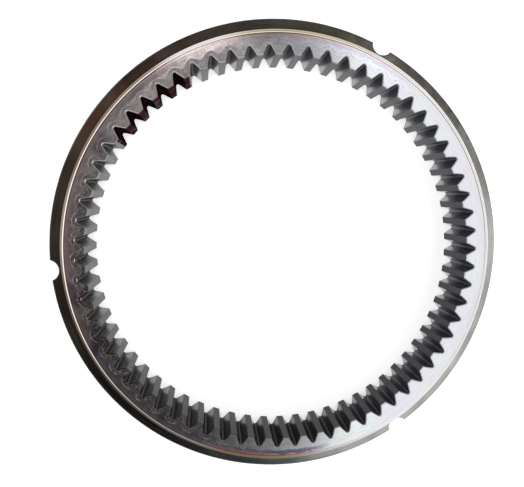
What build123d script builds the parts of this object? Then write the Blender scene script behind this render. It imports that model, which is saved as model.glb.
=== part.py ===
from build123d import *
import os
from math import acos, atan, cos, pi, radians, sin, tan

# Internal ring gear: a straight-toothed annulus turned and shaped from one steel ring.
# Its upper end is stepped down to a register that centres it in a housing, and three
# half-round notches in the full-diameter rim take the pins that keep it from turning.
# Frame: origin at the bore centre on the lower face, +Z towards the register, and the
# first notch on +X. Lengths are in millimetres and angles in degrees.

# Teeth
module = 4.0
teeth = 66
pressure_angle = 25.0
profile_shift = 0.7  # outward shift of the tooth form, in modules
addendum = 0.5125  # stub tooth, from the shifted pitch circle in to its land, in modules
root_fillet = 1.2  # full-round root of each tooth space
end_break = 0.6  # chamfer round the tooth outline at the top, and on the lands at both ends

# Body
face_width = 45.0
register_wall = 16.5  # from the tooth lands out to the register
register_height = 10.0
register_chamfer = 2.0
rim_step = 8.75  # from the register out to the full-diameter rim
rim_chamfer = 0.8  # both outer edges of the rim

# Pin notches
notches = 3
notch_radius = 7.25
notch_offset = 2.0  # from the rim out to the notch centres
notch_chamfer = 0.6

NODE = "ring_gear"

# How many points each flank is drawn through, and how far a cutter runs past what it cuts
FLANK_POINTS = 5
OVERRUN = 1.0

base_radius = module * teeth / 2 * cos(radians(pressure_angle))
tip_radius = module * (teeth / 2 + profile_shift - addendum)
register_radius = tip_radius + register_wall
rim_radius = register_radius + rim_step
rim_top = face_width - register_height
tangent = tan(radians(pressure_angle))
# Radians from the middle of a tooth space to where its involutes leave the base circle
space_angle = (pi / 2 + 2 * profile_shift * tangent) / teeth + tangent - radians(pressure_angle)


def flank_start(radius):
    """Roll angle, in radians, at which the involute of a flank reaches this radius."""
    return tan(acos(base_radius / radius))


def flank_end():
    """Roll angle at which the two flanks of a tooth space would meet."""
    inside, outside = flank_start(tip_radius), flank_start(rim_radius)
    while outside - inside > 1e-9:
        middle = (inside + outside) / 2
        if middle - atan(middle) < space_angle:
            inside = middle
        else:
            outside = middle
    return inside


def flank_point(roll):
    """Point of the upper flank at this roll angle of its involute."""
    x, y = cos(space_angle - roll), sin(space_angle - roll)
    return Vector(x - roll * y, y + roll * x) * base_radius


def tooth_space():
    """Outline of one tooth space on +X: two involute flanks and a full-round root."""
    start = flank_start(tip_radius)
    step = (flank_end() - start) / (FLANK_POINTS - 1)
    points = [flank_point(start + step * i) for i in range(FLANK_POINTS)]
    land, root = points[0], points[-1]
    back = 2 * land.X - root.X
    with BuildSketch() as space:
        with BuildLine():
            Spline(*points)
            Spline(*[Vector(p.X, -p.Y) for p in points])
            Polyline(land, (back, land.Y), (back, -land.Y), (land.X, -land.Y))
        make_face()
        fillet(space.vertices().sort_by(Axis.X)[-1], root_fillet)
    return space.sketch


def space_cutter():
    """Cutter for one tooth space, flared at the top to break the upper tooth outline."""
    lower_end = Pos(0, 0, -OVERRUN) * tooth_space()
    upper_end = Pos(0, 0, face_width + OVERRUN) * tooth_space()
    size = lower_end.bounding_box().size
    with BuildPart(Location((tip_radius, 0, face_width / 2))) as surround:
        block = Box(2 * size.X, 2 * size.Y, face_width + 2 * OVERRUN)
        loft([lower_end, upper_end], ruled=True, mode=Mode.SUBTRACT)
        mouth = surround.faces().sort_by(Axis.Z)[-1].inner_wires()[0]
        chamfer(mouth.edges(), end_break + OVERRUN)
    return block - surround.part


def notch_cutter():
    """Cutter for the notch on +X: a round hole with its two mouths chamfered."""
    centre = rim_radius + notch_offset
    mouth = notch_radius + notch_chamfer
    with BuildPart() as cutter:
        with BuildSketch(Plane.XZ):
            with BuildLine():
                Polyline(
                    (centre, -OVERRUN),
                    (centre + mouth + OVERRUN, -OVERRUN),
                    (centre + notch_radius, notch_chamfer),
                    (centre + notch_radius, rim_top - notch_chamfer),
                    (centre + mouth + OVERRUN, rim_top + OVERRUN),
                    (centre, rim_top + OVERRUN),
                    close=True,
                )
            make_face()
        revolve(axis=Axis((centre, 0, 0), (0, 0, 1)))
    return cutter.part


def blank():
    """Turned ring before its teeth and notches are cut."""
    with BuildPart() as ring:
        with BuildSketch(Plane.XZ):
            with BuildLine():
                Polyline(
                    (tip_radius + end_break, 0),
                    (rim_radius - rim_chamfer, 0),
                    (rim_radius, rim_chamfer),
                    (rim_radius, rim_top - rim_chamfer),
                    (rim_radius - rim_chamfer, rim_top),
                    (register_radius, rim_top),
                    (register_radius, face_width - register_chamfer),
                    (register_radius - register_chamfer, face_width),
                    (tip_radius + end_break, face_width),
                    (tip_radius, face_width - end_break),
                    (tip_radius, end_break),
                    close=True,
                )
            make_face()
        revolve(axis=Axis.Z)
    return ring.part


def ring_gear():
    """The finished gear: the blank, its tooth spaces and its pin notches."""
    with BuildPart() as gear:
        add(blank())
        # A tooth, not a space, stands behind each notch.
        with PolarLocations(0, teeth, start_angle=360 / teeth / 2):
            add(space_cutter(), mode=Mode.SUBTRACT)
        with PolarLocations(0, notches):
            add(notch_cutter(), mode=Mode.SUBTRACT)
    return gear.part


os.makedirs("parts", exist_ok=True)
export_step(ring_gear(), f"parts/{NODE}.step")
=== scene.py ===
from functools import reduce
from math import acos, atan, atan2, cos, hypot, pi, radians, sin, sqrt, tan

import bpy
from mathutils import Matrix, Vector


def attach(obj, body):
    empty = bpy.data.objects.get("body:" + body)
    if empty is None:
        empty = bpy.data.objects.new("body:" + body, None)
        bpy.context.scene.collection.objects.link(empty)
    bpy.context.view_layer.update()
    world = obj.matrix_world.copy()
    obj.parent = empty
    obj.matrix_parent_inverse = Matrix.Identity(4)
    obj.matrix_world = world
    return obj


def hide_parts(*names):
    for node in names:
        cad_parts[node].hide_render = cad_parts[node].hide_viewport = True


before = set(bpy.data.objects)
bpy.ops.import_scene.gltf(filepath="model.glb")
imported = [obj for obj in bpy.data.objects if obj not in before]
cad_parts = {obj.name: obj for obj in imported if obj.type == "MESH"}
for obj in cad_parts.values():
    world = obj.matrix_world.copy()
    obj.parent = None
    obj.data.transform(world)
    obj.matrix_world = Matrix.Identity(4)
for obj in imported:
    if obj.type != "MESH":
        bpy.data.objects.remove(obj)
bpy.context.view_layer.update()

MM = 0.001

# The gear's sizes in millimetres, as in the part's own source.
MODULE = 4.0
TEETH = 66
PRESSURE_ANGLE = radians(25)
PROFILE_SHIFT = 0.7
ADDENDUM = 0.5125
ROOT_FILLET = 1.2
END_BREAK = 0.6
FACE_WIDTH = 45.0
REGISTER = 149.25
RIM = 158.0
RIM_TOP = 35.0
RIM_CHAMFER = 0.8
REGISTER_CHAMFER = 2.0
NOTCHES = 3
NOTCH_RADIUS = 7.25
NOTCH_CENTRE = 160.0
NOTCH_CHAMFER = 0.6
EDGE_ROUNDING = 0.12
EDGE_ANGLE = radians(30)
REGISTER_BLEND = 3.0

# How finely its curves are drawn, in steps.
FLANK_STEPS = 5
ROOT_STEPS = 4
ARC_STEPS = 4
BLEND_STEPS = 5
NOTCH_STEPS = 64

# Points closer than the weld are joined, and a place is met within the slack. The teeth lie
# within one radius, and all that is turned lies outside the other. In millimetres.
WELD = 0.005
SLACK = 0.01
TEETH_WITHIN = 142.0
TURNED_FROM = 147.0

BASE = MODULE * TEETH / 2 * cos(PRESSURE_ANGLE)
TIP = MODULE * (TEETH / 2 + PROFILE_SHIFT - ADDENDUM)
HALF_PITCH = pi / TEETH
SPACE_ANGLE = (
    (pi / 2 + 2 * PROFILE_SHIFT * tan(PRESSURE_ANGLE)) / TEETH
    + tan(PRESSURE_ANGLE)
    - PRESSURE_ANGLE
)


# ---------------------------------------------------------------- modelling

def deselect():
    bpy.ops.object.select_all(action="DESELECT")


def polar(radius, angle, height=0.0):
    """Point at a radius in millimetres and an angle in radians about the bore."""
    return Vector((radius * cos(angle), radius * sin(angle), height)) * MM


def draw_line(name, points):
    """New mesh object, one chain of edges, left in edit mode with its last point selected."""
    deselect()
    bpy.ops.mesh.primitive_plane_add(size=2 * MM, location=(0, 0, 0))
    line = bpy.context.object
    line.name = name
    line.data.name = name
    bpy.ops.object.mode_set(mode="EDIT")
    bpy.ops.mesh.select_mode(type="VERT")
    bpy.ops.mesh.select_all(action="SELECT")
    bpy.ops.mesh.merge(type="CENTER")
    bpy.ops.transform.translate(value=points[0])
    extend_line(points)
    return line


def extend_line(points):
    """Extrudes the selected point along the rest of these points."""
    for here, there in zip(points, points[1:]):
        bpy.ops.mesh.extrude_region_move(TRANSFORM_OT_translate={"value": there - here})


def select_edges(piece, wanted):
    """Selects, in edit mode, the edges whose two ends are both wanted points."""
    bpy.ops.mesh.select_mode(type="EDGE")
    bpy.ops.mesh.select_all(action="DESELECT")
    bpy.ops.object.mode_set(mode="OBJECT")
    points = piece.data.vertices
    for edge in piece.data.edges:
        edge.select = all(wanted(points[i].co / MM) for i in edge.vertices)
    bpy.ops.object.mode_set(mode="EDIT")


def radius_of(point):
    return hypot(point.x, point.y)


def close_to(value, target):
    return abs(value - target) < SLACK


def weld_all():
    """Joins points that lie on one another, and leaves everything selected, in edit mode."""
    bpy.ops.mesh.select_all(action="SELECT")
    bpy.ops.mesh.remove_doubles(threshold=WELD * MM)
    bpy.ops.mesh.select_all(action="SELECT")


# ---------------------------------------------------------------- the tooth space

def flank_point(roll):
    """Radius and half angle of a tooth space where its involute has rolled this far."""
    return BASE * sqrt(1 + roll * roll), SPACE_ANGLE - roll + atan(roll)


def root_roll():
    """Roll angle of the involute through the middle of the full-round root, found by halving."""
    inside, outside, precision = 0.0, 1.0, 1e-9
    while outside - inside > precision:
        middle = (inside + outside) / 2
        if middle - atan(middle) < SPACE_ANGLE - ROOT_FILLET / BASE:
            inside = middle
        else:
            outside = middle
    return inside


def space_outline():
    """Outline of one tooth space, from the middle of one land to the middle of the next."""
    start = tan(acos(BASE / TIP))
    centre_roll = root_roll()
    end = centre_roll + ROOT_FILLET / BASE
    side = [(TIP, HALF_PITCH), (TIP, (HALF_PITCH + flank_point(start)[1]) / 2)]
    side += [flank_point(start + (end - start) * i / FLANK_STEPS) for i in range(FLANK_STEPS + 1)]
    centre = BASE * sqrt(1 + centre_roll**2)
    last = side[-1]
    x, y = last[0] * cos(last[1]) - centre, last[0] * sin(last[1])
    first = atan2(y, x)
    root = []
    for i in range(1, 2 * ROOT_STEPS):
        turn = first * (1 - i / ROOT_STEPS)
        px, py = centre + ROOT_FILLET * cos(turn), ROOT_FILLET * sin(turn)
        root.append((hypot(px, py), atan2(py, px)))
    outline = side + root + [(r, -a) for r, a in reversed(side)]
    return [(r, a + HALF_PITCH) for r, a in outline]


def make_gear():
    """One pitch of the gear is drawn and extruded, copied all round, and then notched."""
    outline = space_outline()
    top = [polar(r, a, FACE_WIDTH) for r, a in outline]
    gear = draw_line("gear_ring", top)

    # Upper face of the pitch, out to the register's chamfer
    land_angle = outline[-1][1]
    arc_angles = [land_angle + 2 * HALF_PITCH * i / ARC_STEPS for i in range(ARC_STEPS + 1)]
    arc = [polar(REGISTER - REGISTER_CHAMFER, angle, FACE_WIDTH) for angle in arc_angles]
    extend_line([top[-1], *arc])
    extend_line([arc[-1], top[0]])
    weld_all()
    bpy.ops.mesh.edge_face_add()

    # Walls of the tooth space
    select_edges(gear, lambda p: radius_of(p) < TEETH_WITHIN)
    bpy.ops.mesh.extrude_edges_move(TRANSFORM_OT_translate={"value": (0, 0, -FACE_WIDTH * MM)})

    # Turned outside, one step of its section at a time
    select_edges(gear, lambda p: radius_of(p) > TURNED_FROM)
    section = [
        (REGISTER - REGISTER_CHAMFER, FACE_WIDTH),
        (REGISTER, FACE_WIDTH - REGISTER_CHAMFER),
        (REGISTER, RIM_TOP),
        (RIM - RIM_CHAMFER, RIM_TOP),
        (RIM, RIM_TOP - RIM_CHAMFER),
        (RIM, RIM_CHAMFER),
        (RIM - RIM_CHAMFER, 0),
    ]
    for (radius, height), (next_radius, next_height) in zip(section, section[1:]):
        drop = (0, 0, (next_height - height) * MM)
        bpy.ops.mesh.extrude_edges_move(TRANSFORM_OT_translate={"value": drop})
        growth = next_radius / radius
        bpy.ops.transform.resize(value=(growth, growth, 1), center_override=(0, 0, 0))

    # Lower face
    select_edges(gear, lambda p: p.z < SLACK)
    bpy.ops.mesh.bridge_edge_loops()

    # All the pitches, welded into one ring
    bpy.ops.mesh.select_all(action="SELECT")
    turn = 2 * pi * (TEETH - 1) / TEETH
    bpy.ops.mesh.spin(steps=TEETH - 1, dupli=True, angle=turn, center=(0, 0, 0), axis=(0, 0, 1))
    weld_all()
    bpy.ops.mesh.normals_make_consistent(inside=False)

    # End break round the upper tooth outline, and on the lands below
    select_edges(gear, lambda p: radius_of(p) < TEETH_WITHIN and p.z > FACE_WIDTH - SLACK)
    bpy.ops.mesh.bevel(offset=END_BREAK * MM, offset_type="OFFSET", segments=1, affect="EDGES")
    select_edges(gear, lambda p: close_to(radius_of(p), TIP) and p.z < SLACK)
    bpy.ops.mesh.bevel(offset=END_BREAK * MM, offset_type="OFFSET", segments=1, affect="EDGES")

    # The upper face rolls over into the register's chamfer
    select_edges(gear, lambda p: close_to(radius_of(p), REGISTER - REGISTER_CHAMFER))
    reach = REGISTER_BLEND * tan(pi / 8) * MM
    bpy.ops.mesh.bevel(offset=reach, offset_type="OFFSET", segments=BLEND_STEPS, affect="EDGES")
    bpy.ops.object.mode_set(mode="OBJECT")
    return gear


def make_notch_cutter():
    """Round cutter with flared ends, for the notch on +X."""
    reach = 1.0
    mouth = NOTCH_RADIUS + NOTCH_CHAMFER + reach
    section = [
        (0, -reach),
        (mouth, -reach),
        (NOTCH_RADIUS, NOTCH_CHAMFER),
        (NOTCH_RADIUS, RIM_TOP - NOTCH_CHAMFER),
        (mouth, RIM_TOP + reach),
        (0, RIM_TOP + reach),
    ]
    points = [Vector((NOTCH_CENTRE + x, 0, z)) * MM for x, z in section]
    cutter = draw_line("notch_cutter", points)
    bpy.ops.mesh.select_all(action="SELECT")
    centre = (NOTCH_CENTRE * MM, 0, 0)
    bpy.ops.mesh.spin(steps=NOTCH_STEPS, angle=2 * pi, center=centre, axis=(0, 0, 1),
                      use_auto_merge=True)
    weld_all()
    bpy.ops.mesh.normals_make_consistent(inside=False)
    bpy.ops.object.mode_set(mode="OBJECT")
    return cutter


def cut_notches(gear):
    """Cuts the notch on +X and the others spaced evenly round the rim."""
    cutter = make_notch_cutter()
    for i in range(NOTCHES):
        copy = cutter.copy()
        copy.data = cutter.data.copy()
        copy.data.transform(Matrix.Rotation(2 * pi * i / NOTCHES, 4, "Z"))
        bpy.context.collection.objects.link(copy)
        bpy.context.view_layer.objects.active = gear
        cut = gear.modifiers.new("notch", "BOOLEAN")
        cut.operation = "DIFFERENCE"
        cut.solver = "EXACT"
        cut.object = copy
        bpy.ops.object.modifier_apply(modifier=cut.name)
        bpy.data.objects.remove(copy)
    bpy.data.objects.remove(cutter)


gear = make_gear()
cut_notches(gear)


# ---------------------------------------------------------------- materials

# Every pattern is worked out from where a point lies on the ring. Radii, heights and lengths of
# marks are in millimetres, and places round the ring are in degrees from +X.
MEAN_RADIUS = 150.0


def linear(colour):
    """Linear values of an sRGB hex colour, with full opacity."""
    parts = [int(colour[i:i + 2], 16) / 255 for i in (1, 3, 5)]
    return [p / 12.92 if p <= 0.04045 else ((p + 0.055) / 1.055) ** 2.4 for p in parts] + [1]


def add(tree, kind, sockets, **settings):
    """Adds a node with its settings; each socket gets a value, or a link from another socket."""
    made = tree.nodes.new(kind)
    for name, value in settings.items():
        setattr(made, name, value)
    for key, value in sockets.items():
        if isinstance(value, bpy.types.NodeSocket):
            tree.links.new(value, made.inputs[key])
        else:
            made.inputs[key].default_value = value
    return made


def scaled(tree, vector, factors):
    """Vector with each of its parts multiplied by its own factor."""
    sockets = {0: vector, 1: factors}
    return add(tree, "ShaderNodeVectorMath", sockets, operation="MULTIPLY").outputs[0]


def new_finish(name):
    """Empty metal material with its shader, and where a point lies on the ring, in mm.

    The place is given as a point, a radius, a heading from the axis, an angle and a height."""
    material = bpy.data.materials.new(name)
    material.use_nodes = True
    tree = material.node_tree
    shader = tree.nodes["Principled BSDF"]
    shader.inputs["Metallic"].default_value = 1
    place = add(tree, "ShaderNodeTexCoord", {})
    point = scaled(tree, place.outputs["Object"], [1 / MM] * 3)
    flat = scaled(tree, point, (1, 1, 0))
    radius = add(tree, "ShaderNodeVectorMath", {0: flat}, operation="LENGTH").outputs["Value"]
    heading = add(tree, "ShaderNodeVectorMath", {0: flat}, operation="NORMALIZE").outputs[0]
    axes = add(tree, "ShaderNodeSeparateXYZ", {0: point})
    angle = maths(tree, "ARCTAN2", axes.outputs[1], axes.outputs[0])
    return material, tree, shader, point, radius, heading, angle, axes.outputs[2]


def wire(tree, shader, colour, rough, metallic=None):
    """Links a finish's patterns to its shader."""
    tree.links.new(colour, shader.inputs["Base Color"])
    tree.links.new(rough, shader.inputs["Roughness"])
    if metallic is not None:
        tree.links.new(metallic, shader.inputs["Metallic"])


def emboss(tree, shader, pattern, strength, depth):
    """Presses a pattern into the surface, as relief this many millimetres deep."""
    sockets = {"Height": pattern, "Strength": strength, "Distance": depth * MM}
    tree.links.new(add(tree, "ShaderNodeBump", sockets).outputs[0], shader.inputs["Normal"])


def maths(tree, operation, *values):
    return add(tree, "ShaderNodeMath", dict(enumerate(values)), operation=operation).outputs[0]


def times(tree, *values):
    """Product of two or more values."""
    return reduce(lambda first, second: maths(tree, "MULTIPLY", first, second), values)


def most(tree, *values):
    """Largest of two or more values."""
    return reduce(lambda first, second: maths(tree, "MAXIMUM", first, second), values)


def span(tree, value, low, high, to_low=0.0, to_high=1.0, smooth=False):
    """Maps low..high of a value onto another span, and holds it at the ends."""
    kind = "SMOOTHSTEP" if smooth else "LINEAR"
    sockets = {0: value, 1: low, 2: high, 3: to_low, 4: to_high}
    return add(tree, "ShaderNodeMapRange", sockets, interpolation_type=kind).outputs[0]


def spread(tree, pattern, to_low=0.0, to_high=1.0):
    """Maps a noise, whose values mostly lie between 0.3 and 0.7, onto a span."""
    return span(tree, pattern, 0.3, 0.7, to_low, to_high)


def ramp(tree, value, stops):
    """Colours along a value from 0 to 1, as (position, hex colour)."""
    made = add(tree, "ShaderNodeValToRGB", {0: value})
    elements = made.color_ramp.elements
    while len(elements) < len(stops):
        elements.new(0.5)
    for element, (position, colour) in zip(elements, stops):
        element.position = position
        element.color = linear(colour)
    return made.outputs[0]


def mix(tree, factor, first, second, blend="MIX"):
    """Mixes two colours, given as sockets or as hex."""
    pair = [linear(c) if isinstance(c, str) else c for c in (first, second)]
    sockets = {0: factor, 6: pair[0], 7: pair[1]}
    return add(tree, "ShaderNodeMix", sockets, data_type="RGBA", blend_type=blend).outputs[2]


def stain(tree, factor, colour, tint):
    """Darkens a colour by a tint, as a thin film on it does."""
    return mix(tree, factor, colour, tint, "MULTIPLY")


def stain_stretches(tree, angle, colour, stretches):
    """Stains stretches of the ring, each given as (middle, half width, strength, tint)."""
    for middle, width, strength, tint in stretches:
        factor = times(tree, around(tree, angle, middle, width), strength)
        colour = stain(tree, factor, colour, tint)
    return colour


def noise(tree, vector, scale, detail=2.0, roughness=0.5):
    """Soft patches, of about 1 / scale millimetres."""
    sockets = {"Vector": vector, "Scale": scale, "Detail": detail, "Roughness": roughness}
    return add(tree, "ShaderNodeTexNoise", sockets).outputs[0]


def facing(tree, angle, centre):
    """Cosine of how far round the ring a point lies from this place."""
    return maths(tree, "COSINE", maths(tree, "SUBTRACT", angle, radians(centre)))


def around(tree, angle, centre, width):
    """One at this place of the ring, falling to nothing this many degrees to either side."""
    return span(tree, facing(tree, angle, centre), cos(radians(width)), 1.0, smooth=True)


def lay(tree, heading, along, across_mm, round_mm):
    """Pattern position whose marks run round the ring: fine across, long the way round.

    Their length is as stated at the mean radius."""
    long_way = scaled(tree, heading, [MEAN_RADIUS / round_mm] * 3)
    fine = maths(tree, "DIVIDE", along, across_mm)
    fine = add(tree, "ShaderNodeCombineXYZ", {2: fine}).outputs[0]
    return add(tree, "ShaderNodeVectorMath", {0: long_way, 1: fine}, operation="ADD").outputs[0]


def ground_steel():
    """Upper face: case-hardened steel, ground smooth, with temper colours left by the heat.

    It mirrors softly, and pale clouds of straw, pink, violet and blue follow the teeth."""
    material, tree, shader, point, radius, heading, angle, _ = new_finish("ground_tempered_steel")
    cloud = noise(tree, point, 0.05, 3)
    smudge = noise(tree, point, 0.28, 3, 0.6)
    grain = noise(tree, lay(tree, heading, radius, 0.9, 18), 1.0, 3, 0.6)

    # How far out a point lies, along lines that swing with the teeth and are calm in two places
    wave = maths(tree, "COSINE", times(tree, angle, float(TEETH)))
    swing = span(tree, radius, 140, 146, 1.7, 0)
    calm = most(tree, around(tree, angle, 206, 27), around(tree, angle, 8, 38))
    calmed = times(tree, swing, span(tree, calm, 0, 0.5, 1, 0.2))
    swept = maths(tree, "MULTIPLY_ADD", wave, calmed, radius)
    drift = spread(tree, smudge, -1.4, 1.4)
    drifted = maths(tree, "MULTIPLY_ADD", drift, span(tree, radius, 140.5, 143.5), swept)

    # Temper colours, from the bore outwards: strongest in two places, faint in the others
    bands = ramp(tree, span(tree, drifted, 138, 149), [
        (0.0, "#C6C8CC"), (0.20, "#CFD1D8"), (0.34, "#D8DCEA"), (0.46, "#B0B2D4"),
        (0.56, "#B297B8"), (0.68, "#D6AAAE"), (0.82, "#DBC2A2"), (0.95, "#DAD0A8"),
    ])
    hot = most(tree, times(tree, around(tree, angle, 15, 33), 0.6), around(tree, angle, 200, 22))
    hot_clouds = times(tree, hot, span(tree, cloud, 0.35, 0.6, 0.4, 1.0))
    warm = times(tree, around(tree, angle, 112, 100), 0.35)
    plain = mix(tree, span(tree, noise(tree, point, 0.03, 2), 0.4, 0.6), "#C9C6CE", "#C8CCCC")
    colour = mix(tree, most(tree, hot_clouds, warm, 0.05), plain, bands)

    # Brown on the side that ran hottest, in soft smudges, with violet clouds
    heated = span(tree, around(tree, angle, 115, 112), 0.0, 0.4)
    brown = times(tree, around(tree, angle, 150, 84), span(tree, radius, 142.5, 145.5, 0.85, 0.45))
    colour = stain(tree, brown, colour, "#AEA5A1")
    smudged = times(tree, span(tree, smudge, 0.35, 0.65, 0, 0.45), heated)
    colour = stain(tree, smudged, colour, "#A8A09C")
    violet_clouds = span(tree, noise(tree, point, 0.06, 1), 0.54, 0.66, 0, 0.65)
    violet = times(tree, violet_clouds, around(tree, angle, 118, 85))
    colour = stain(tree, violet, colour, "#9080AC")

    # Single marks: amber with blue inside it, a grey one by the teeth, a dim one, a pink one
    amber = times(tree, around(tree, angle, 198, 20), span(tree, radius, 142.8, 145, 0, 0.75))
    colour = stain(tree, amber, colour, "#F4D0B8")
    blue_band = times(tree, span(tree, drifted, 141.5, 142.6),
                      span(tree, drifted, 145.6, 144.6, 0, 0.8))
    blue = times(tree, blue_band, around(tree, angle, 208, 13))
    colour = stain(tree, blue, colour, "#8496AE")
    grey = times(tree, around(tree, angle, 51, 16), span(tree, radius, 144, 141.5, 0, 0.7))
    colour = stain(tree, grey, colour, "#B4AEB2")
    dim_band = times(tree, span(tree, radius, 141.2, 142.6), span(tree, radius, 145.6, 144.6))
    dim = times(tree, dim_band, around(tree, angle, 63, 18))
    colour = stain(tree, dim, colour, "#D8D2D4")
    pink = times(tree, around(tree, angle, 26, 20), span(tree, radius, 142, 143.5))
    colour = mix(tree, pink, colour, "#82504E", "SCREEN")

    # The contour where the heat stopped: a dark line with a pale one outside it, clear round
    # the tooth spaces and lost between them
    bent = maths(tree, "MULTIPLY_ADD", wave, swing, radius)
    line = maths(tree, "SUBTRACT", maths(tree, "MULTIPLY_ADD", smudge, 3.0, bent), 141.95)
    patchy = span(tree, noise(tree, point, 0.45, 2, 0.6), 0.38, 0.58, 0.25, 1)
    traced = most(tree, heated, span(tree, around(tree, angle, 14, 34), 0, 0.5, 0.16, 0.7))
    clear = times(tree, span(tree, wave, 0.9, 0.1), patchy, traced)
    dark = span(tree, maths(tree, "ABSOLUTE", line), 0.15, 0.55, 0.6, 0, smooth=True)
    colour = stain(tree, times(tree, dark, clear), colour, "#6A6563")
    beyond = maths(tree, "ABSOLUTE", maths(tree, "SUBTRACT", line, 0.8))
    pale = times(tree, span(tree, beyond, 0.2, 0.7, 0.62, 0, smooth=True), clear)
    colour = mix(tree, pale, colour, "#A8A8AC", "SCREEN")
    colour = stain(tree, spread(tree, grain, 0, 0.1), colour, "#8E8E92")

    # Tooth ends inside the contour are duller, mottled, and scuffed with pale flecks on one side
    inside = times(tree, span(tree, line, -0.3, 0.3, 1, 0), heated)
    scuffed = times(tree, around(tree, angle, 135, 62), inside)
    dulled = maths(tree, "MULTIPLY_ADD", scuffed, 0.6, times(tree, inside, 0.2))
    mottled = times(tree, dulled, span(tree, noise(tree, point, 0.5, 3, 0.6), 0.4, 0.6))
    colour = stain(tree, mottled, colour, "#706C6A")
    fleck = noise(tree, point, 1.1, 2, 0.7)
    flecked = times(tree, scuffed, span(tree, fleck, 0.56, 0.64, 0, 0.8))
    colour = mix(tree, times(tree, flecked, 0.5), colour, "#B8B4B0", "SCREEN")

    rough = maths(tree, "MULTIPLY_ADD", inside, 0.08, spread(tree, grain, 0.15, 0.2))
    oxide = most(tree, pale, flecked, amber)
    wire(tree, shader, colour, rough, metallic=span(tree, oxide, 0, 0.6, 0.86, 0.66))
    emboss(tree, shader, grain, 0.02, 0.4)
    return material


def turned_steel():
    """Rim and lower face: turned on a lathe and left, a darker steel with a circular lay."""
    material, tree, shader, point, radius, heading, angle, height = new_finish("turned_steel")
    along = maths(tree, "ADD", radius, height)
    marks = noise(tree, lay(tree, heading, along, 0.8, 40), 1.0, 3, 0.6)
    cloud = noise(tree, point, 0.04, 3)
    colour = mix(tree, spread(tree, marks), "#8E8E8D", "#B2B2B0")
    colour = stain(tree, span(tree, cloud, 0.35, 0.65, 0, 0.5), colour, "#A8A49C")
    # Painted shade: the rim is darker round all but its lit side
    rim_shade = span(tree, facing(tree, angle, 78), -0.75, -0.1, smooth=True)
    colour = stain(tree, rim_shade, colour, "#A6A29E")
    outer_edge = span(tree, radius, RIM - 1, RIM - 0.7)
    colour = stain(tree, outer_edge, colour, "#686664")

    # Even stains: two grey ones, an olive and a teal one; then a blotchy one on the plain side
    colour = stain_stretches(tree, angle, colour, [
        (46, 18, 1.0, "#BAB6B2"), (124, 14, 1.0, "#D0CCC8"),
        (14, 16, 0.6, "#AFAB78"), (203, 16, 0.7, "#7FA3A0"),
    ])
    blotch = span(tree, noise(tree, point, 0.13, 3, 0.6), 0.35, 0.6, 0.25, 0.9)
    blotched = times(tree, around(tree, angle, 345, 44), blotch)
    colour = stain(tree, blotched, colour, "#B4B2AC")

    # Baked oil on the hot side, maroon and umber by turns, with a golden brown place in it
    tint = noise(tree, point, 0.045, 1)
    baked = around(tree, angle, 68, 32)
    maroon = times(tree, baked, span(tree, tint, 0.42, 0.56, 0.1, 0.8))
    colour = stain(tree, maroon, colour, "#BC8C84")
    umber = times(tree, baked, span(tree, tint, 0.52, 0.4, 0, 0.6))
    colour = stain(tree, umber, colour, "#BCB08A")
    golden = around(tree, angle, 80, 15)
    colour = mix(tree, golden, colour, "#5A4C40", "SCREEN")

    wire(tree, shader, colour, spread(tree, marks, 0.17, 0.26))
    emboss(tree, shader, marks, 0.12, 0.6)
    return material


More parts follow.
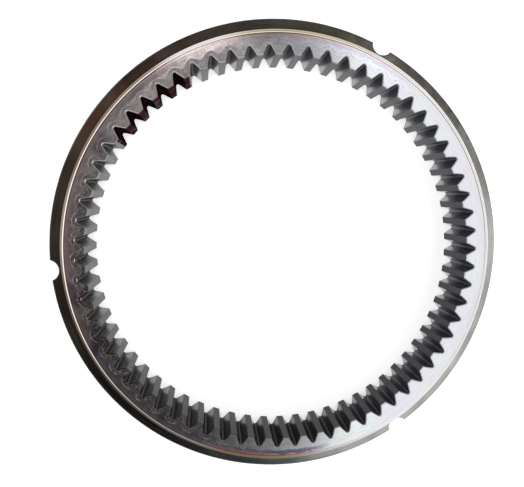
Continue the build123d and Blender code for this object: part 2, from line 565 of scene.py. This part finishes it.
def shaped_steel():
    """Tooth walls: shaped by a cutter moving along the bore, dark with oil, with painted shade deep
    in the spaces and on one side.
    """
    material, tree, shader, point, radius, _, angle, height = new_finish("shaped_tooth_steel")
    strokes = noise(tree, scaled(tree, point, (1.6, 1.6, 0.05)), 1.0, 3, 0.6)
    cloud = noise(tree, point, 0.12, 3)
    colour = mix(tree, spread(tree, strokes), "#4A4B4E", "#646769")
    colour = stain(tree, span(tree, cloud, 0.35, 0.65, 0, 0.5), colour, "#B0ABA8")
    # Painted shade, with a bluish cast, on one side of the ring
    blue_shade_side = around(tree, angle, 252, 112)
    colour = stain(tree, blue_shade_side, colour, "#7478A0")
    scuffed = around(tree, angle, 100, 34)
    colour = stain(tree, span(tree, scuffed, 0, 0.4, 1, 0), colour, "#D2D2D4")

    # Painted shade lies deep in the tooth spaces, and is fainter where they are scuffed. On the
    # shaded side its edge leans like the edge of a painted reflection: nearer the bore high up, and
    # further out low down
    thin = most(tree, scuffed, span(tree, around(tree, angle, 160, 44), 0, 0.6, 0, 0.35))
    shaded_side = span(tree, around(tree, angle, 316, 125), 0, 0.4)
    leaning = maths(tree, "MULTIPLY_ADD", maths(tree, "SUBTRACT", height, 22.0), 0.12, radius)
    reached = span(tree, shaded_side, 0, 1, radius, leaning)
    full = span(tree, shaded_side, 0, 1, 138, 136)
    # Painted shade, deep in the tooth spaces
    scale = times(tree, span(tree, reached, 134, full), span(tree, thin, 0, 1, 1, 0.35),
                  span(tree, radius, 133.1, 133.6))
    colour = stain(tree, scale, colour, "#78767A")
    # The painted shade turns near black on one side
    dark_shade_side = around(tree, angle, 316, 112)
    colour = mix(tree, times(tree, scale, 0.8, dark_shade_side), colour, "#2E3040")

    # Lands: painted shade near the top, and painted shade all the way down on one side
    on_land = span(tree, radius, 133.4, 133)
    shaded_land_top = times(tree, on_land, span(tree, scuffed, 0, 0.6, 1, 0), span(tree, height, 12, 36))
    colour = stain(tree, shaded_land_top, colour, "#ACACB4")
    # Painted shade on the lands of one side
    colour = stain(tree, times(tree, on_land, around(tree, angle, 208, 85)), colour, "#D8D8DC")

    # Walls: a painted line of shade under the upper face, duller flanks on one side, and a painted
    # reflection of the floor, paler low down, on another
    shade_line = times(tree, span(tree, height, 42.2, 43.2, 0, 0.9), dark_shade_side)
    colour = stain(tree, shade_line, colour, "#6C6C74")
    flank = times(tree, span(tree, radius, 132.9, 133.5), around(tree, angle, 112, 48))
    colour = stain(tree, flank, colour, "#A8A2A0")
    # Painted reflection of the floor, low on the walls of one side
    floor_reflection = times(tree, span(tree, radius, 132.9, 133.3), around(tree, angle, 316, 115),
                     span(tree, height, 26, 6, 0, 0.7))
    colour = mix(tree, floor_reflection, colour, "#A4A4A6")
    worn = most(tree, scuffed, around(tree, angle, 145, 65))
    scratched = times(tree, worn, span(tree, noise(tree, point, 0.6, 3, 0.6), 0.4, 0.6, 0, 0.8))
    colour = stain(tree, scratched, colour, "#8A8684")

    # Clean walls are glossy with oil. The painted deep shade, scuffs, lands and roots of the spaces
    # are duller
    dull_deep_shade = span(tree, scale, 0.5, 1, 0, 0.4)
    dull_flank = times(tree, flank, 0.08)
    dull_scuffs = span(tree, scuffed, 0, 0.5, 0, 0.2)
    dull_lands = span(tree, radius, 133.5, 133.1, 0, 0.22)
    dull_roots = span(tree, radius, 138.1, 138.7, 0, 0.35)
    dull = most(tree, dull_deep_shade, dull_flank, dull_scuffs, dull_lands, dull_roots)
    rough = maths(tree, "ADD", spread(tree, strokes, 0.14, 0.22), dull)
    wire(tree, shader, colour, rough, metallic=span(tree, scale, 0.4, 1, 1, 0.45))
    emboss(tree, shader, strokes, 0.15, 0.5)
    return material


def scorched_steel():
    """One stretch of tooth walls: black with baked oil, maroon where it is thin, hardly shining."""
    material, tree, shader, point, radius, *_ = new_finish("scorched_tooth_steel")
    cloud = noise(tree, point, 0.16, 3)
    walls = mix(tree, span(tree, cloud, 0.48, 0.68), "#0E0708", "#3E1C26")
    patch = noise(tree, point, 0.07, 2)
    lands = ramp(tree, span(tree, patch, 0.35, 0.65), [
        (0.0, "#5C4E50"), (0.35, "#3E3030"), (0.6, "#241A1A"), (0.85, "#4E2A38"),
    ])
    on_land = times(tree, span(tree, radius, 133.6, 132.9), span(tree, cloud, 0.4, 0.5, 0.6, 0.95))
    colour = mix(tree, on_land, walls, lands)
    shader.inputs["Metallic"].default_value = 0
    shader.inputs["Specular IOR Level"].default_value = 0.0
    wire(tree, shader, colour, spread(tree, cloud, 0.5, 0.7))
    return material


def deburred_steel():
    """Broken edges of the teeth: filed bright, then darkened round the ring by painted shade."""
    material, tree, shader, point, radius, _, angle, _ = new_finish("deburred_edge_steel")
    marks = noise(tree, point, 0.9, 2, 0.6)
    colour = mix(tree, spread(tree, marks), "#BDBDBF", "#D0D0D3")
    # Painted shade on the edges, strongest on one side
    colour = stain_stretches(tree, angle, colour, [
        (168, 82, 0.95, "#78726F"), (188, 78, 0.9, "#A29E9C"),
        (45, 95, 0.7, "#C0BCBA"), (312, 110, 1.0, "#D2D2D8"),
    ])

    # Painted shade darkens the sloping sides on one side, the lands' edges are stained where the
    # walls are scorched, and painted glints lie at the roots of the scuffed spaces
    sides = times(tree, span(tree, radius, 133.5, 134), span(tree, radius, 139.5, 139.2),
                  around(tree, angle, 152, 82))
    colour = stain(tree, sides, colour, "#827C78")
    stained = times(tree, around(tree, angle, 67, 26), span(tree, radius, 133.8, 133.3))
    colour = stain(tree, stained, colour, "#CCBCBE")
    # Painted glints at the roots of the scuffed spaces
    painted_glints = times(tree, around(tree, angle, 98, 42), span(tree, radius, 139.3, 139.55, 0, 0.6))
    colour = mix(tree, painted_glints, colour, "#ECECEC")
    wire(tree, shader, colour, spread(tree, marks, 0.2, 0.3))
    return material


def chamfered_steel():
    """Register's chamfer and the rolled edge above it: turned bright, then browned by the heat,
    with painted highlights and a painted dark reflection.
    """
    material, tree, shader, _, radius, heading, angle, height = new_finish("turned_chamfer_steel")
    marks = noise(tree, lay(tree, heading, radius, 0.7, 25), 1.0, 2, 0.6)
    colour = mix(tree, spread(tree, marks), "#BEBEC0", "#D2D2D2")

    # Browned by the heat, but not on a painted highlight line near the top; darker at the foot on
    # one side
    off_line = maths(tree, "ABSOLUTE", maths(tree, "SUBTRACT", height, 44.72))
    off_highlight = span(tree, off_line, 0.1, 0.26, 0.1, 1)
    browned = times(tree, around(tree, angle, 125, 100), off_highlight)
    colour = stain(tree, browned, colour, "#A0948A")
    tanned = times(tree, span(tree, around(tree, angle, 90, 105), 0, 0.5), off_highlight)
    colour = stain(tree, tanned, colour, "#D8D2CE")
    burnt = times(tree, around(tree, angle, 180, 58), span(tree, off_highlight, 0, 1, 0.55, 0.95))
    colour = stain(tree, burnt, colour, "#68615C")
    foot = times(tree, span(tree, height, 44.2, 43.2, 0, 0.9), around(tree, angle, 174, 92))
    colour = stain(tree, foot, colour, "#665E58")
    colour = stain_stretches(tree, angle, colour, [
        (110, 100, 1.0, "#F2E6DC"), (199, 20, 0.9, "#DAA868"),
    ])

    # A painted highlight, a painted dark reflection where the rolled edge starts, a straw-coloured
    # place, a paler one, and the painted highlight line itself
    bright = times(tree, around(tree, angle, 48, 14), 0.8)
    colour = mix(tree, bright, colour, "#E6E2E0")
    # Painted dark reflection where the rolled edge starts
    rolled = times(tree, span(tree, height, 44.9, 44.96, 0, 0.85), around(tree, angle, 335, 58))
    colour = stain(tree, rolled, colour, "#8E8A82")
    colour = stain_stretches(tree, angle, colour, [(22, 24, 0.7, "#E6D9A8")])
    paler = around(tree, angle, 108, 16)
    colour = mix(tree, paler, colour, "#5E5C5A", "SCREEN")
    # Painted highlight line near the top of the chamfer, on two sides
    highlight_sides = most(tree, around(tree, angle, 90, 90), around(tree, angle, 332, 62))
    highlight_line = times(tree, highlight_sides, span(tree, off_line, 0.16, 0.07, 0, 0.8))
    colour = mix(tree, highlight_line, colour, "#F6EEE4")
    rough = spread(tree, marks, 0.16, 0.24)
    wire(tree, shader, colour, rough, metallic=span(tree, bright, 0, 0.8, 1, 0.5))
    return material


def milled_steel():
    """Notches: milled down the rim, an even satin with marks up and down."""
    material, tree, shader, point, *_ = new_finish("milled_notch_steel")
    marks = noise(tree, scaled(tree, point, (1.2, 1.2, 0.06)), 1.0, 3, 0.6)
    colour = mix(tree, spread(tree, marks), "#7A7A79", "#9C9C9A")
    wire(tree, shader, colour, spread(tree, marks, 0.3, 0.4))
    return material


# The gear's finishes, in the order of its material slots.
FINISHES = [
    ground_steel(), turned_steel(), shaped_steel(),
    deburred_steel(), milled_steel(), chamfered_steel(), scorched_steel(),
]
GROUND, TURNED, SHAPED, DEBURRED, MILLED, CHAMFERED, SCORCHED = range(7)
SCORCHED_FROM, SCORCHED_TO = radians(54), radians(82)

# A face is upright if its normal rises less than the first, and level if more than the second.
UPRIGHT = 0.3
LEVEL = 0.9


def finish_of(face):
    """Which finish a face of the ring has, by where it lies and which way it looks."""
    radius, height = radius_of(face.center) / MM, face.center.z / MM
    upright = abs(face.normal.z) < UPRIGHT
    if radius < TEETH_WITHIN and abs(face.normal.z) < LEVEL:
        if not upright:
            return DEBURRED
        angle = atan2(face.center.y, face.center.x)
        return SCORCHED if SCORCHED_FROM < angle < SCORCHED_TO else SHAPED
    if height > FACE_WIDTH - SLACK:
        return GROUND
    if height > FACE_WIDTH - REGISTER_CHAMFER and radius < REGISTER and not upright:
        return CHAMFERED
    if upright and RIM_TOP > height and radius < RIM - 0.1:
        return MILLED
    return TURNED


def dress(gear):
    """Gives every face its finish, rounds the edges by a hair and smooths the shading."""
    gear.data.materials.clear()
    for finish in FINISHES:
        gear.data.materials.append(finish)
    for face in gear.data.polygons:
        face.material_index = finish_of(face)
    deselect()
    gear.select_set(True)
    bpy.context.view_layer.objects.active = gear
    bpy.ops.object.shade_smooth()
    rounding = gear.modifiers.new("edge_rounding", "BEVEL")
    rounding.width = EDGE_ROUNDING * MM
    rounding.segments = 2
    rounding.limit_method = "ANGLE"
    rounding.angle_limit = EDGE_ANGLE
    bpy.ops.object.modifier_apply(modifier=rounding.name)
    shading = gear.modifiers.new("shading", "WEIGHTED_NORMAL")
    shading.keep_sharp = False
    shading.weight = 100
    bpy.ops.object.modifier_apply(modifier=shading.name)


dress(gear)
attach(gear, "root")
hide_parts("ring_gear")


# ---------------------------------------------------------------- floor, light and camera

PICTURE_TURN = radians(-64.19)

FLOOR_RADIUS = 4.0
FLOOR_CORNERS = 96
PAPER_GLOW = 0.58

# The room: how bright its walls and ceiling are, which way its dim side looks in the picture, and
# between which heights above the horizon the low part and the ceiling blend into the walls.
WALLS = 1.5
CEILING = 0.03
LOW_BRIGHT, LOW_DIM = 1.3, 0.8
DIM_SIDE = radians(-48)
LOW_EDGE = radians(18), radians(26)
CEILING_EDGE = radians(39), radians(47)
CEILING_RAISED = radians(8)

# Soft boxes: name, centre, size, radiance, turn in degrees and colour.
LAMPS = [
    ("main_softbox", (0.77, -0.1, 1.5), (0.88, 2.7), 1.47, -1.2, "#FFFFFF"),
    ("fill_strip", (0.31, -0.15, 1.55), (0.3, 1.9), 0.5, -4, "#FFFFFF"),
    ("small_softbox", (-0.085, 0.475, 1.5), (0.19, 0.26), 2.9, 0, "#FFF6EC"),
    ("far_panel", (-0.96, 0.1, 1.5), (0.62, 2.2), 0.26, 0, "#FFE4D2"),
    ("warm_panel", (-0.42, 0.08, 1.5), (0.42, 0.8), 0.28, 0, "#FFE4D2"),
]

# The camera: its lens and sensor in millimetres, its place, and which way the picture's right
# side, its upper side and the view itself point.
LENS = 42.377
SENSOR = 36
SHIFT = (-0.04712, 0.07149)
CAMERA_PLACE = (0.01495, 0.06276, 0.46689)
CAMERA_RIGHT = (0.4398, -0.8897, 0.12256)
CAMERA_UP = (0.89526, 0.42347, -0.13848)
CAMERA_VIEW = (-0.07131, -0.17063, -0.98275)


def in_picture(x, y, z):
    """Point given by how far right and up it lies in the camera's picture, in metres."""
    return Matrix.Rotation(PICTURE_TURN, 4, "Z") @ Vector((x, y, z))


def add_floor():
    """White paper under the gear, which glows for the camera and in mirrors but casts no light."""
    deselect()
    bpy.ops.mesh.primitive_circle_add(vertices=FLOOR_CORNERS, radius=FLOOR_RADIUS,
                                      fill_type="NGON", location=(0, 0, 0))
    floor = bpy.context.object
    floor.name = "floor"
    paper = bpy.data.materials.new("white_paper")
    paper.use_nodes = True
    tree = paper.node_tree
    shader = tree.nodes["Principled BSDF"]
    shader.inputs["Base Color"].default_value = linear("#F2F2F2")
    shader.inputs["Roughness"].default_value = 0.9
    shader.inputs["Specular IOR Level"].default_value = 0.0
    path = add(tree, "ShaderNodeLightPath", {})
    rays = [path.outputs["Is Camera Ray"], path.outputs["Is Glossy Ray"],
            path.outputs["Is Transmission Ray"]]
    tree.links.new(times(tree, most(tree, *rays), PAPER_GLOW), shader.inputs["Emission Strength"])
    shader.inputs["Emission Color"].default_value = (1, 1, 1, 1)
    floor.data.materials.append(paper)


def add_lamp(name, centre, size, radiance, turn, colour):
    """Soft box that faces down. Its centre and turn are given in the picture's own directions."""
    lamp = bpy.data.lights.new(name, "AREA")
    lamp.shape = "RECTANGLE"
    lamp.size, lamp.size_y = size
    lamp.energy = radiance * pi * size[0] * size[1]
    lamp.color = linear(colour)[:3]
    holder = bpy.data.objects.new(name, lamp)
    bpy.context.collection.objects.link(holder)
    holder.matrix_world = (
        Matrix.Translation(in_picture(*centre))
        @ Matrix.Rotation(PICTURE_TURN + radians(turn), 4, "Z")
    )


def add_world():
    """White room with a dark ceiling, dimmer low down and most of all on one side.

    Opposite the dim side, the walls reach up a little higher."""
    world = bpy.data.worlds.new("studio")
    bpy.context.scene.world = world
    world.use_nodes = True
    tree = world.node_tree
    tree.nodes.clear()
    place = add(tree, "ShaderNodeTexCoord", {})
    sockets = {"Vector": place.outputs["Generated"], "Rotation": (0, 0, DIM_SIDE - PICTURE_TURN)}
    turned = add(tree, "ShaderNodeMapping", sockets)
    axes = add(tree, "ShaderNodeSeparateXYZ", {0: turned.outputs[0]})
    flat = scaled(tree, turned.outputs[0], (1, 1, 0))
    heading = add(tree, "ShaderNodeVectorMath", {0: flat}, operation="NORMALIZE")
    dimward = add(tree, "ShaderNodeSeparateXYZ", {0: heading.outputs[0]}).outputs[0]
    rise = maths(tree, "ARCSINE", axes.outputs[2])
    low_part = span(tree, dimward, -0.6, 0.85, LOW_BRIGHT, LOW_DIM, smooth=True)
    above_low = span(tree, rise, *LOW_EDGE, smooth=True)
    sides = add(tree, "ShaderNodeMix", {0: above_low, 2: low_part, 3: WALLS}).outputs[0]
    raised = span(tree, dimward, -0.9, -0.2, CEILING_RAISED, 0)
    above_walls = span(tree, maths(tree, "SUBTRACT", rise, raised), *CEILING_EDGE, smooth=True)
    room = add(tree, "ShaderNodeMix", {0: above_walls, 2: sides, 3: CEILING}).outputs[0]
    back = add(tree, "ShaderNodeBackground", {"Color": linear("#FFFFFF"), "Strength": room})
    add(tree, "ShaderNodeOutputWorld", {0: back.outputs[0]})


def add_camera():
    lens = bpy.data.cameras.new("camera")
    lens.lens = LENS
    lens.sensor_width = SENSOR
    lens.shift_x, lens.shift_y = SHIFT
    lens.clip_start = 0.01
    camera = bpy.data.objects.new("camera", lens)
    bpy.context.collection.objects.link(camera)
    backward = [-part for part in CAMERA_VIEW]
    turned = Matrix((CAMERA_RIGHT, CAMERA_UP, backward)).transposed().to_4x4()
    camera.matrix_world = Matrix.Translation(CAMERA_PLACE) @ turned
    bpy.context.scene.camera = camera


add_floor()
add_world()
for lamp in LAMPS:
    add_lamp(*lamp)
add_camera()

view = bpy.context.scene.view_settings
view.view_transform = "Standard"
